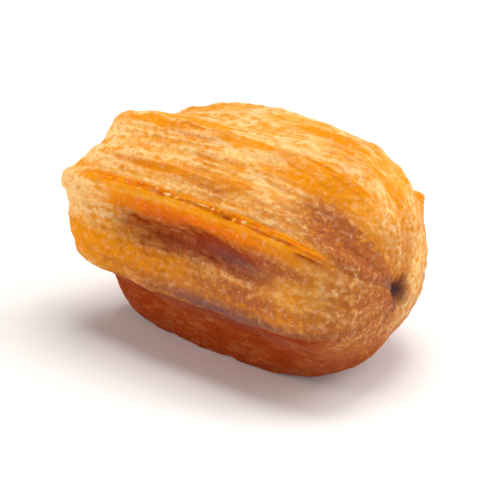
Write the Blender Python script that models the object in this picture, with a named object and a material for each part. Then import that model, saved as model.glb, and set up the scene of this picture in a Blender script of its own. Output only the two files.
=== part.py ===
"""Ridged doughnut of fried dough as one closed solid.

The dough is a short, fat bar with eight lengthwise lobes. It is blunt at -X and drawn together
into a dimple at +X. It lies along X, its best face is turned to -Y, and it rests on small flats
under its two lowest lobes. The solid is a closed grid of meridians (from the blunt end to the
pinched end) and rings (around the bar), computed from the sizes below and then roughened by
seeded relief.
"""

from typing import NamedTuple

import bpy
import numpy as np

MM = 0.001
NODE_NAME = "doughnut"
CRUST_COLOR = (0.68, 0.33, 0.09, 1.0)
CRUST_ROUGHNESS = 0.55


class Crest(NamedTuple):
    """One lobe crest: angles in degrees (0 = front, 90 = top), lengths in millimetres.

    The values named blunt, middle and pinch hold at the -X end, half way and the +X end.
    Squareness is the power of the rounded end profile; steepness is how fast the surface
    falls away from the crest towards the valley before it and the valley after it.
    """

    angle_blunt: float
    angle_middle: float
    angle_pinch: float
    radius_blunt: float
    radius_middle: float
    radius_pinch: float
    square_blunt: float
    square_pinch: float
    reach_blunt: float
    reach_pinch: float
    steep_before: float
    steep_after: float
    columns: int


class Valley(NamedTuple):
    """The valley after a crest: its place between the two crests and its depths in millimetres."""

    place: float
    depth: float
    dent: float
    dent_x: float
    dent_spread: float
    reach_blunt: float
    reach_pinch: float


# Lobes in turn around the bar, from the front foot up over the top to the back foot.
CRESTS = (
    Crest(-62.0, -62.0, -60.0, 16.6, 17.8, 15.0, 5.0, 3.4, 25.4, 25.2, 1.0, 1.0, 14),
    Crest(-13.0, -11.5, -12.0, 16.8, 17.0, 17.0, 6.0, 4.6, 27.4, 26.0, 2.2, 0.9, 22),
    Crest(30.5, 35.6, 31.0, 17.5, 17.7, 17.2, 9.0, 4.4, 29.6, 26.0, 0.9, 0.9, 26),
    Crest(75.0, 81.0, 79.0, 16.8, 17.8, 18.6, 8.0, 3.9, 27.6, 25.8, 0.9, 0.9, 18),
    Crest(117.0, 119.0, 119.0, 15.4, 19.4, 18.3, 5.0, 3.0, 25.6, 25.4, 0.6, 0.6, 14),
    Crest(155.0, 154.0, 152.0, 16.0, 17.6, 15.8, 5.0, 3.8, 25.4, 22.8, 0.9, 0.9, 12),
    Crest(203.0, 203.0, 203.0, 16.0, 17.4, 15.2, 5.0, 2.9, 25.0, 23.8, 0.8, 0.8, 12),
    Crest(251.0, 251.0, 251.0, 16.4, 17.0, 14.4, 5.0, 2.7, 25.0, 24.2, 0.9, 0.9, 12),
)
VALLEYS = (
    Valley(0.62, 1.5, 1.2, -2.0, 20.0, 24.8, 25.2),
    Valley(0.60, 0.4, 4.8, -5.0, 15.0, 29.5, 25.6),
    Valley(0.60, 0.6, 1.3, 19.0, 8.0, 27.6, 25.2),
    Valley(0.45, 0.5, 0.9, -10.0, 14.0, 24.6, 25.2),
    Valley(0.50, 0.8, 1.0, -6.0, 16.0, 24.2, 24.4),
    Valley(0.45, 0.3, 1.8, -8.0, 16.0, 24.0, 23.2),
    Valley(0.52, 0.0, 2.1, -8.0, 16.0, 24.0, 24.2),
    Valley(0.50, 1.4, 1.3, -2.0, 18.0, 24.0, 24.6),
)

ROWS = 41                  # evenly spaced rings from pole to pole
PINCH_RINGS = (0.7, 1.35)  # more rings, this far from the pinched pole
AXIS_HEIGHT = 15.4         # axis of the bar above the flats it rests on
HALF_LENGTH = 26.0         # length that the end values refer to
MEAN_RADIUS = 17.0
MEAN_SQUARENESS = 4.5
POLE_BLUNT = 24.2
POLE_PINCH = 25.2
CREST_BUNCHING = 0.35      # how much closer the meridians lie at the crests
VALLEY_ROUNDING = 0.3      # how much rounder the blunt end is in the valleys
REACH_GAIN = 1.4           # how soon a meridian gets its full reach on the way from a pole
PINCH_FILLING = 0.7        # how much of a valley's depth is lost at the pinched end
PINCH_STRETCH = (13.0, 25.0)  # x over which the valleys fill and soften

# Dimples: a shallow round one at the blunt end, a deep slit at the pinched end.
BLUNT_DIMPLE_DEPTH = 1.2
BLUNT_DIMPLE_RADIUS = 3.0
PINCH_DIMPLE_DEPTH = 2.0
PINCH_DIMPLE_LONG = 2.3
PINCH_DIMPLE_SHORT = 1.15
PINCH_DIMPLE_TURN = 62.0

# Relief.
SEED = 4711
LUMP_SIZE = 5.5
LUMP_HEIGHT = 0.24
WANDER_SIZE = 8.0          # size of the waves in the furrows
WANDER_CELLS = 0.5
FURROW_CELLS = 58          # furrows around the bar
FURROW_LENGTH = 9.0
FURROW_HEIGHTS = (0.06, 0.16, 0.34, 0.32, 0.26, 0.22, 0.22, 0.14)
RAGGED_HEIGHT = 0.30
RAGGED_LENGTH = 2.6
RELIEF_FADE_BLUNT = 7.0    # relief dies out this close to the poles
RELIEF_FADE_PINCH = 14.0

# The long crack just above the front lip, and the lip it lifts.
CRACK_INTERVAL = 2
CRACK_PLACE = 0.062
CRACK_WIDTH = 0.026
CRACK_DEPTH = 0.42
CRACK_ENDS = (-25.0, 23.5)
LIP_HEIGHT = 0.40
LIP_WIDTH = 0.030


class Knob(NamedTuple):
    """A torn knob on a crest: crest number, then place, spread and height in millimetres."""

    crest: int
    x: float
    spread: float
    height: float


class Hollow(NamedTuple):
    """A hollow in a lobe face: interval, share and spread of it, then millimetres."""

    interval: int
    share: float
    share_spread: float
    x: float
    x_spread: float
    depth: float


KNOBS = (
    Knob(5, 17.8, 2.0, 0.8),
    Knob(3, -3.4, 1.3, 0.45),
    Knob(3, -19.0, 1.6, 0.30),
    Knob(1, 3.0, 3.0, 0.25),
)
HOLLOWS = (
    Hollow(2, 0.31, 0.055, -11.5, 3.6, 0.55),
    Hollow(2, 0.42, 0.170, 19.5, 5.0, 0.45),
    Hollow(2, 0.80, 0.060, -8.0, 6.0, 0.25),
    Hollow(3, 0.45, 0.140, -17.0, 6.0, 0.35),
)


def field(rows: tuple, name: str) -> np.ndarray:
    """Return one named value of every row."""
    return np.array([getattr(row, name) for row in rows])


def along(blunt: np.ndarray, middle: np.ndarray, pinch: np.ndarray, s: np.ndarray) -> np.ndarray:
    """Return the parabola through three values at s = -1, 0 and 1."""
    return middle + 0.5 * (pinch - blunt) * s + (0.5 * (pinch + blunt) - middle) * s * s


def step(low: float, high: float, t: np.ndarray) -> np.ndarray:
    """Return a smooth rise from 0 at low to 1 at high."""
    u = np.clip((t - low) / (high - low), 0.0, 1.0)
    return u * u * (3.0 - 2.0 * u)


def fall(u: np.ndarray, slope: np.ndarray) -> np.ndarray:
    """Return the fall from a crest (u = 0) to a valley (u = 1) with the given slope at the crest."""
    last = 0.1
    return ((slope + last - 2.0) * u + (3.0 - 2.0 * slope - last)) * u * u + slope * u


def meridians() -> tuple[np.ndarray, np.ndarray]:
    """Return the lobe interval and the share of it passed, for every meridian."""
    intervals = []
    shares = []
    for number, crest in enumerate(CRESTS):
        even = np.arange(crest.columns) / crest.columns
        intervals.append(np.full(crest.columns, number))
        shares.append(even - CREST_BUNCHING * np.sin(2.0 * np.pi * even) / (2.0 * np.pi))
    return np.concatenate(intervals), np.concatenate(shares)


def ring_angles(rows: int) -> np.ndarray:
    """Return profile angles from 0 to pi, spaced by length along a mean end-to-end profile."""
    fine = np.linspace(0.0, np.pi, 4001)
    power = 2.0 / MEAN_SQUARENESS
    length_way = -np.sign(np.cos(fine)) * np.abs(np.cos(fine)) ** power * HALF_LENGTH
    outward = np.abs(np.sin(fine)) ** power * MEAN_RADIUS
    run = np.concatenate([[0.0], np.cumsum(np.hypot(np.diff(length_way), np.diff(outward)))])
    stops = np.concatenate([np.linspace(0.0, run[-1], rows), run[-1] - np.array(PINCH_RINGS)])
    return np.interp(np.sort(stops), run, fine)


def lattice_noise(coords: np.ndarray, seed: int, size: int = 32) -> np.ndarray:
    """Return smooth noise in -1..1 at 3-D lattice coordinates, repeating every size cells."""
    values = np.random.default_rng(seed).uniform(-1.0, 1.0, (size, size, size))
    base = np.floor(coords).astype(int)
    part = coords - base
    part = part * part * part * (part * (part * 6.0 - 15.0) + 10.0)
    total = np.zeros(coords.shape[:-1])
    for corner in np.ndindex(2, 2, 2):
        weight = np.ones(coords.shape[:-1])
        for axis in range(3):
            share = part[..., axis]
            weight = weight * (share if corner[axis] else 1.0 - share)
        index = (base + np.array(corner)) % size
        total = total + weight * values[index[..., 0], index[..., 1], index[..., 2]]
    return total


def plain_form(rows: int) -> tuple[np.ndarray, dict[str, np.ndarray]]:
    """Return the smooth lobed form in millimetres and the values the relief is built from."""
    interval, share = meridians()
    following = (interval + 1) % len(CRESTS)
    turn = np.where(following == 0, 360.0, 0.0)
    place = field(VALLEYS, "place")[interval]
    before = share < place
    toward = np.where(before, share / place, (1.0 - share) / (1.0 - place))
    nearest = np.where(before, interval, following)
    steep_after = field(CRESTS, "steep_after")[interval]
    steep_before = field(CRESTS, "steep_before")[following]
    drop = fall(toward, np.where(before, steep_after, steep_before))
    blend = 0.5 - 0.5 * np.cos(np.pi * share)

    def mixed(name: str) -> np.ndarray:
        """Return a crest value that passes smoothly from each crest to the next."""
        value = field(CRESTS, name)
        return value[interval] * (1.0 - blend) + value[following] * blend

    def turned(name: str) -> np.ndarray:
        """Return a crest angle that passes evenly from each crest to the next."""
        value = field(CRESTS, name)
        return value[interval] * (1.0 - share) + (value[following] + turn) * share

    def reached(name: str, peak: np.ndarray) -> np.ndarray:
        """Return how far the meridians reach, given how much of a crest each of them is."""
        low = field(VALLEYS, name)[interval]
        return low + (field(CRESTS, name)[nearest] - low) * peak

    sharp_peak = (1.0 - drop) ** 2
    round_peak = 0.5 + 0.5 * np.cos(np.pi * toward)
    profile = ring_angles(rows)[:, None]
    cosine = np.cos(profile)
    sine = np.clip(np.sin(profile), 0.0, 1.0)
    blunt_side = cosine > 0.0
    square_blunt = mixed("square_blunt") * (1.0 - VALLEY_ROUNDING * drop)
    square = np.where(blunt_side, square_blunt, mixed("square_pinch"))
    body = sine ** (2.0 / square)
    reach_blunt = reached("reach_blunt", sharp_peak)
    reach_pinch = reached("reach_pinch", round_peak)
    reach = np.where(blunt_side, reach_blunt, reach_pinch)
    pole = np.where(blunt_side, POLE_BLUNT, POLE_PINCH)
    reach = pole + (reach - pole) * np.clip(REACH_GAIN * body, 0.0, 1.0)
    x = -np.sign(cosine) * reach * np.abs(cosine) ** (2.0 / square)
    s = np.clip(x / HALF_LENGTH, -1.05, 1.0)
    angle = np.radians(along(turned("angle_blunt"), turned("angle_middle"), turned("angle_pinch"), s))
    off_dent = (x - field(VALLEYS, "dent_x")[interval]) / field(VALLEYS, "dent_spread")[interval]
    depth = field(VALLEYS, "depth")[interval] + field(VALLEYS, "dent")[interval] * np.exp(-(off_dent ** 2))
    melt = step(*PINCH_STRETCH, x)
    depth = depth * (1.0 - PINCH_FILLING * melt)
    soft_drop = drop * (1.0 - melt) + (1.0 - round_peak) * melt
    crest_radius = along(mixed("radius_blunt"), mixed("radius_middle"), mixed("radius_pinch"), s)
    radius = (crest_radius - depth * soft_drop) * body
    slit = np.radians(PINCH_DIMPLE_TURN)
    across = radius * np.cos(angle - slit) / PINCH_DIMPLE_LONG
    over = radius * np.sin(angle - slit) / PINCH_DIMPLE_SHORT
    dimple = np.where(
        blunt_side,
        -BLUNT_DIMPLE_DEPTH * np.exp(-((radius / BLUNT_DIMPLE_RADIUS) ** 2)),
        PINCH_DIMPLE_DEPTH * np.exp(-(across ** 2 + over ** 2)),
    )
    x = x - dimple
    points = np.stack([x, -radius * np.cos(angle), radius * np.sin(angle)], axis=-1)
    values = {
        "interval": interval,
        "share": share,
        "nearest": nearest,
        "around": turned("angle_middle") / 360.0,
        "crestness": sharp_peak * np.ones_like(x),
        "fade": step(0.0, 1.0, radius / np.where(blunt_side, RELIEF_FADE_BLUNT, RELIEF_FADE_PINCH)),
    }
    return points, values


def outward_normals(points: np.ndarray) -> np.ndarray:
    """Return unit normals of the grid, pointing out of the dough."""
    ahead = np.gradient(points, axis=0)
    sideways = np.roll(points, -1, axis=1) - np.roll(points, 1, axis=1)
    normals = np.cross(ahead, sideways)
    normals[0] = (-1.0, 0.0, 0.0)
    normals[-1] = (1.0, 0.0, 0.0)
    return normals / np.linalg.norm(normals, axis=-1, keepdims=True)


def relief(points: np.ndarray, values: dict[str, np.ndarray]) -> np.ndarray:
    """Return the height of lumps, furrows, ragged crests, crack and lip in millimetres."""
    x = points[..., 0]
    interval = values["interval"]
    share = values["share"]
    lumps = lattice_noise(points / LUMP_SIZE + 7.3, SEED) * LUMP_HEIGHT

    following = (interval + 1) % len(CRESTS)
    heights = np.array(FURROW_HEIGHTS)
    height = heights[interval] * (1.0 - share) + heights[following] * share
    around = np.broadcast_to(values["around"] * FURROW_CELLS % FURROW_CELLS, x.shape)
    wander = lattice_noise(points / WANDER_SIZE + 2.1, SEED + 1) * WANDER_CELLS
    plane = np.stack([around + wander, x / FURROW_LENGTH + 9.0, np.zeros_like(x)], axis=-1)
    furrows = lattice_noise(plane, SEED + 2, FURROW_CELLS) * height

    nearest = values["nearest"]
    ragged_at = np.stack([x / RAGGED_LENGTH, np.broadcast_to(nearest * 3.7, x.shape), x * 0.0], axis=-1)
    ragged = lattice_noise(ragged_at + 5.0, SEED + 3) * RAGGED_HEIGHT * values["crestness"] ** 3
    for knob in KNOBS:
        bump = knob.height * np.exp(-(((x - knob.x) / knob.spread) ** 2)) * values["crestness"] ** 2
        ragged = ragged + np.where(nearest == knob.crest, bump, 0.0)

    hollows = np.zeros_like(x)
    for hollow in HOLLOWS:
        across = (share - hollow.share) / hollow.share_spread
        pit = hollow.depth * np.exp(-(((x - hollow.x) / hollow.x_spread) ** 2) - across ** 2)
        hollows = hollows - np.where(interval == hollow.interval, pit, 0.0)

    rise = step(CRACK_ENDS[0], CRACK_ENDS[0] + 5.0, x)
    lengthwise = rise * (1.0 - step(CRACK_ENDS[1] - 6.0, CRACK_ENDS[1], x))
    offset = np.full(share.shape, 9.0)
    offset = np.where(interval == CRACK_INTERVAL, share, offset)
    offset = np.where(interval == CRACK_INTERVAL - 1, share - 1.0, offset)
    crack = -CRACK_DEPTH * np.exp(-(((offset - CRACK_PLACE) / CRACK_WIDTH) ** 2)) * lengthwise
    lip = LIP_HEIGHT * np.exp(-((offset / LIP_WIDTH) ** 2)) * lengthwise
    return (lumps + furrows + ragged + hollows + crack + lip) * values["fade"]


def build_doughnut() -> bpy.types.Object:
    """Build the closed solid with its material and link it into the scene."""
    points, values = plain_form(ROWS)
    points = points + outward_normals(points) * relief(points, values)[..., None]
    flat = points[..., :2].reshape(-1, 2)
    points[..., :2] -= 0.5 * (flat.min(axis=0) + flat.max(axis=0))
    points[..., 2] = np.maximum(points[..., 2] + AXIS_HEIGHT, 0.0)
    rings = points[1:-1]
    count, columns = rings.shape[:2]
    blunt_pole = points[0].mean(axis=0)
    pinch_pole = points[-1].mean(axis=0)
    verts = np.concatenate([rings.reshape(-1, 3), [blunt_pole, pinch_pole]]) * MM

    row, column = np.meshgrid(np.arange(count - 1), np.arange(columns), indexing="ij")
    beside = (column + 1) % columns
    a = row * columns + column
    b = row * columns + beside
    c = (row + 1) * columns + beside
    d = (row + 1) * columns + column
    first = np.stack([a, c, b], axis=-1).reshape(-1, 3)
    second = np.stack([a, d, c], axis=-1).reshape(-1, 3)
    ring = np.arange(columns)
    after = (ring + 1) % columns
    last = (count - 1) * columns
    blunt_cap = np.stack([ring, after, np.full(columns, count * columns)], axis=-1)
    pinch_cap = np.stack([last + after, last + ring, np.full(columns, count * columns + 1)], axis=-1)
    faces = np.concatenate([first, second, blunt_cap, pinch_cap])

    mesh = bpy.data.meshes.new(NODE_NAME)
    mesh.from_pydata(verts.tolist(), [], faces.tolist())
    mesh.update()
    mesh.shade_smooth()
    solid = bpy.data.objects.new(NODE_NAME, mesh)
    bpy.context.scene.collection.objects.link(solid)

    crust = bpy.data.materials.new("dough_crust")
    crust.use_nodes = True
    shader = crust.node_tree.nodes["Principled BSDF"]
    shader.inputs["Base Color"].default_value = CRUST_COLOR
    shader.inputs["Roughness"].default_value = CRUST_ROUGHNESS
    mesh.materials.append(crust)
    return solid


for leftover in list(bpy.data.objects):
    bpy.data.objects.remove(leftover, do_unlink=True)
build_doughnut()
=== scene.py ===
"""Looks for a ridged doughnut of fried dough: its crust surface, finish, floor, light and camera.

The dough is a short fat bar along X with eight lengthwise lobes. Its blunt end is at -X, its
pinched end with the dimple at +X, and its best face is turned to -Y. Lengths in the classes
below are millimetres unless a name says otherwise. Angles are degrees around the bar: 0 is the
front, 90 the top. Interval n is the face between lobe crest n and the next one, and a share is
how far across its interval a place lies.
"""

from __future__ import annotations

import logging
import math
from dataclasses import dataclass, field
from enum import Enum

import bpy
import numpy as np
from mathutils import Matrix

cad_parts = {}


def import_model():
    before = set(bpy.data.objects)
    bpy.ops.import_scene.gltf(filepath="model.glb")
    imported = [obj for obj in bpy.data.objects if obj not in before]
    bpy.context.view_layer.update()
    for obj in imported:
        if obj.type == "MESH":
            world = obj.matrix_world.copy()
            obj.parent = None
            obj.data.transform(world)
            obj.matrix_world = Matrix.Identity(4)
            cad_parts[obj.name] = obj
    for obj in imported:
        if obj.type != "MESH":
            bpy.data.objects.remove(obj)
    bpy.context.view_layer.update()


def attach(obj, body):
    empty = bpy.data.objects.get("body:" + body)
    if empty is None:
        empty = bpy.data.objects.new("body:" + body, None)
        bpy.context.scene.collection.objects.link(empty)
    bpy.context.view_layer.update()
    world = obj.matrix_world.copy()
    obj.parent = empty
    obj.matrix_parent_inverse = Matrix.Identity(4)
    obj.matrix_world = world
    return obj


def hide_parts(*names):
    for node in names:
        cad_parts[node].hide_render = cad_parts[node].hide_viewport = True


LOG = logging.getLogger("doughnut")
MM = 0.001
Color = tuple[float, float, float]
Socket = bpy.types.NodeSocket


class CrustMask(Enum):
    """Names of the point attributes that say how much of each tone the crust shows. The shade mask is painted
    shade; the toast and deep masks hold browner crust and painted shade both.
    """

    TOAST_AND_SHADE = "toast_and_shade"
    PALE = "pale"
    AMBER = "amber"
    EMBER = "ember"
    DEEP_AND_SHADE = "deep"
    PAINTED_SHADE = "painted_shade"


class LampRole(Enum):
    """What a lamp does for the picture."""

    KEY = "key"
    BACK = "back"
    FRONT = "front"
    LEFT = "left"
    RIGHT = "right"


@dataclass(frozen=True)
class Crest:
    """One lobe crest.

    Each triple holds the value at the blunt end, half way and at the pinched end. Square is the
    power of the outline and reach the length from the middle, at the blunt and the pinched end.
    Steep is how fast the surface falls away towards the valley before the crest and the valley
    after it.
    """

    angle: tuple[float, float, float]
    radius: tuple[float, float, float]
    square: tuple[float, float]
    reach: tuple[float, float]
    steep: tuple[float, float]
    columns: int


@dataclass(frozen=True)
class Valley:
    """The valley after a crest: its share of the interval, its depth and its deeper dent."""

    place: float
    depth: float
    dent: float
    dent_x: float
    dent_spread: float
    reach: tuple[float, float]


@dataclass(frozen=True)
class Knob:
    """A torn knob on a crest."""

    crest: int
    x: float
    spread: float
    height: float


@dataclass(frozen=True)
class Spot:
    """A soft spot: its middle and its spread across the interval, in shares, and along the bar."""

    interval: int
    share: float
    share_spread: float
    x: float
    x_spread: float


@dataclass(frozen=True)
class Hollow(Spot):
    """A hollow between two crests; a depth below zero makes it a bump."""

    depth: float


@dataclass(frozen=True)
class Patch(Spot):
    """A patch of one tone; the higher its edge power, the flatter its middle along the bar."""

    mask: CrustMask
    strength: float
    edge: float = 2.0


@dataclass(frozen=True)
class CrackTone:
    """What the crack's band, the dots in it and the painted highlight line on its lip add to one tone."""

    mask: CrustMask
    band: float
    dots: float
    line: float


CRESTS: tuple[Crest, ...] = (
    Crest((-62.0, -62.0, -60.0), (16.6, 17.8, 15.0), (5.0, 3.4), (25.4, 25.2), (1.0, 1.0), 38),
    Crest((-13.0, -11.5, -12.0), (16.8, 17.0, 17.0), (6.0, 4.6), (27.4, 26.0), (2.2, 0.9), 66),
    Crest((30.5, 35.6, 31.0), (17.5, 17.7, 17.2), (9.0, 4.4), (29.6, 26.0), (0.9, 0.9), 82),
    Crest((75.0, 81.0, 79.0), (16.8, 17.8, 18.6), (8.0, 3.9), (27.6, 25.8), (0.9, 0.9), 58),
    Crest((117.0, 119.0, 119.0), (15.4, 19.4, 18.3), (5.0, 3.0), (25.6, 25.4), (0.6, 0.6), 42),
    Crest((155.0, 154.0, 152.0), (16.0, 17.6, 15.8), (5.0, 3.8), (25.4, 22.8), (0.9, 0.9), 40),
    Crest((203.0, 203.0, 203.0), (16.0, 17.4, 15.2), (5.0, 2.9), (25.0, 23.8), (0.8, 0.8), 38),
    Crest((251.0, 251.0, 251.0), (16.4, 17.0, 14.4), (5.0, 2.7), (25.0, 24.2), (0.9, 0.9), 36),
)
VALLEYS: tuple[Valley, ...] = (
    Valley(0.62, 1.5, 1.2, -2.0, 20.0, (24.8, 25.2)),
    Valley(0.60, 0.4, 4.8, -5.0, 15.0, (29.5, 25.6)),
    Valley(0.60, 0.6, 1.3, 19.0, 8.0, (27.6, 25.2)),
    Valley(0.45, 0.5, 0.9, -10.0, 14.0, (24.6, 25.2)),
    Valley(0.50, 0.8, 1.0, -6.0, 16.0, (24.2, 24.4)),
    Valley(0.45, 0.3, 1.8, -8.0, 16.0, (24.0, 23.2)),
    Valley(0.52, 0.0, 2.1, -8.0, 16.0, (24.0, 24.2)),
    Valley(0.50, 1.4, 1.3, -2.0, 18.0, (24.0, 24.6)),
)


def smooth_step(low: float | np.ndarray, high: float | np.ndarray, value: np.ndarray) -> np.ndarray:
    """Rise smoothly from 0 to 1 between two limits: 3u^2 - 2u^3 of the share u passed.

    Args:
        low: Value at which the rise starts.
        high: Value at which it ends, which may be the lower one.
        value: Where it is read.

    Returns:
        The rise, shaped like value.
    """
    share = np.clip((value - low) / (high - low), 0.0, 1.0)
    return share * share * (3.0 - 2.0 * share)


def bell(distance: np.ndarray, power: float = 2.0) -> np.ndarray:
    """Raise a bell exp(-|d|^power), 1 at distance 0."""
    return np.exp(-(np.abs(distance) ** power))


def parabola(blunt: np.ndarray, middle: np.ndarray, pinch: np.ndarray, s: np.ndarray) -> np.ndarray:
    """Pass a parabola through three values at s = -1, 0 and 1.

    Args:
        blunt: Value at the blunt end.
        middle: Value half way.
        pinch: Value at the pinched end.
        s: Place along the bar.

    Returns:
        The parabola at s.
    """
    return middle + 0.5 * (pinch - blunt) * s + (0.5 * (pinch + blunt) - middle) * s * s


def lattice_noise(coords: np.ndarray, seed: int, size: int = 32) -> np.ndarray:
    """Blend seeded random values at the eight lattice corners round each point.

    The blend weight along each axis is 6t^5 - 15t^4 + 10t^3 of the part t of the cell passed.

    Args:
        coords: Lattice coordinates, with the last axis of length three.
        seed: Seed of the lattice values.
        size: Number of cells after which the lattice repeats.

    Returns:
        Smooth noise between -1 and 1.
    """
    values = np.random.default_rng(seed).uniform(-1.0, 1.0, (size, size, size))
    base = np.floor(coords).astype(int)
    part = coords - base
    part = part * part * part * (part * (part * 6.0 - 15.0) + 10.0)
    total = np.zeros(coords.shape[:-1])
    for corner in np.ndindex(2, 2, 2):
        weight = np.ones(coords.shape[:-1])
        for axis in range(3):
            weight = weight * (part[..., axis] if corner[axis] else 1.0 - part[..., axis])
        index = (base + np.array(corner)) % size
        total += weight * values[index[..., 0], index[..., 1], index[..., 2]]
    return total


def grid_normals(points: np.ndarray) -> np.ndarray:
    """Take the cross product of the steps along the bar and around it at each grid point.

    Args:
        points: Grid of points, rings first and meridians second.

    Returns:
        Unit normals that point out of the dough.
    """
    ahead = np.gradient(points, axis=0)
    around = np.roll(points, -1, axis=1) - np.roll(points, 1, axis=1)
    normals = np.cross(ahead, around)
    normals[0] = (-1.0, 0.0, 0.0)
    normals[-1] = (1.0, 0.0, 0.0)
    return normals / np.linalg.norm(normals, axis=-1, keepdims=True)


@dataclass(frozen=True)
class Rise:
    """A smooth rise: where it starts, where it is full, and how much it then gives."""

    start: float
    full: float
    amount: float = 1.0

    def at(self, value: np.ndarray) -> np.ndarray:
        """Read the rise at a value."""
        return self.amount * smooth_step(self.start, self.full, value)


@dataclass(frozen=True)
class NoiseField:
    """Lattice noise on the dough: size of a cell, where in the lattice it starts, and its seed."""

    cell: float
    start: float
    seed: int

    def at(self, points: np.ndarray) -> np.ndarray:
        """Read the noise at points, between -1 and 1."""
        return lattice_noise(points / self.cell + self.start, self.seed)


@dataclass(frozen=True)
class Meridians:
    """The grid's lengthwise lines: the interval each lies in and the share of it passed."""

    interval: np.ndarray
    share: np.ndarray

    @property
    def following(self) -> np.ndarray:
        """Number of the crest that ends each line's interval."""
        return (self.interval + 1) % len(CRESTS)

    def valley_values(self, values: list[float]) -> np.ndarray:
        """Give each line the value of its interval's valley."""
        return np.array(values)[self.interval]

    def straight(self, values: tuple[float, ...] | list[float], full_turn: float = 0.0) -> np.ndarray:
        """Pass in a straight line from each crest's value to the next one's.

        Args:
            values: One value per crest.
            full_turn: What the first crest's value gains after the last interval.

        Returns:
            One value per meridian.
        """
        table = np.array(values)
        gain = np.where(self.following == 0, full_turn, 0.0)
        return table[self.interval] * (1.0 - self.share) + (table[self.following] + gain) * self.share

    def waved(self, values: list[float]) -> np.ndarray:
        """Pass along half a cosine wave from each crest's value to the next one's.

        Args:
            values: One value per crest.

        Returns:
            One value per meridian.
        """
        table = np.array(values)
        blend = 0.5 - 0.5 * np.cos(np.pi * self.share)
        return table[self.interval] * (1.0 - blend) + table[self.following] * blend


@dataclass(frozen=True)
class DoughGrid:
    """A grid of surface points with the values that relief and colour are worked out from.

    Nearest is each meridian's nearest crest, around its share of the full turn, and crestness
    is 1 on a crest and 0 in a valley. Drop is how deep a point lies in its valley. Fade takes
    the relief away towards the poles.
    """

    points: np.ndarray
    lines: Meridians
    nearest: np.ndarray
    around: np.ndarray
    drop: np.ndarray
    crestness: np.ndarray
    fade: np.ndarray

    @property
    def x(self) -> np.ndarray:
        """Place along the bar."""
        return self.points[..., 0]

    def spread(self, per_meridian: np.ndarray) -> np.ndarray:
        """Give every ring the values of the meridians."""
        return np.broadcast_to(per_meridian, self.x.shape)

    def inside(self, interval: int, values: np.ndarray) -> np.ndarray:
        """Keep values in one interval and set them to 0 elsewhere."""
        return np.where(self.lines.interval == interval, values, 0.0)

    def spot(self, spot: Spot, edge: float = 2.0) -> np.ndarray:
        """Raise a bell exp(-|dx|^edge - ds^2) over a spot, 1 at its middle.

        Args:
            spot: Middle and spreads, by which the distances dx and ds are divided.
            edge: Power of the distance along the bar.

        Returns:
            The bell, 0 outside the spot's interval.
        """
        ahead = np.abs((self.x - spot.x) / spot.x_spread)
        across = (self.lines.share - spot.share) / spot.share_spread
        return self.inside(spot.interval, np.exp(-(ahead**edge) - across**2))


@dataclass(frozen=True)
class StreakField:
    """Lattice noise drawn out along the bar.

    Cells is how many streaks lie around the bar, length is that of one streak. The bend noise
    makes them wander by up to sway cells. Start is where in the lattice they begin, and fold is
    how deep the folded noise reaches under its ridges.
    """

    cells: int
    length: float
    seed: int
    bend: NoiseField
    sway: float
    start: tuple[float, float] = (11.0, 0.4)
    fold: float = 2.2

    def at(self, grid: DoughGrid) -> np.ndarray:
        """Read the noise on a plane of the place around the bar and the place along it.

        Args:
            grid: The dough's grid.

        Returns:
            Noise between -1 and 1.
        """
        turn = grid.spread(grid.around * self.cells % self.cells) + self.sway * self.bend.at(grid.points)
        ahead = grid.x / self.length + self.start[0]
        plane = np.stack([turn, ahead, np.full_like(ahead, self.start[1])], axis=-1)
        return lattice_noise(plane, self.seed, self.cells)

    def folded(self, grid: DoughGrid) -> np.ndarray:
        """Fold the noise into sharp ridges, 1 - fold |noise|, from about -1 to 1."""
        return 1.0 - self.fold * np.abs(self.at(grid))


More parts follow.
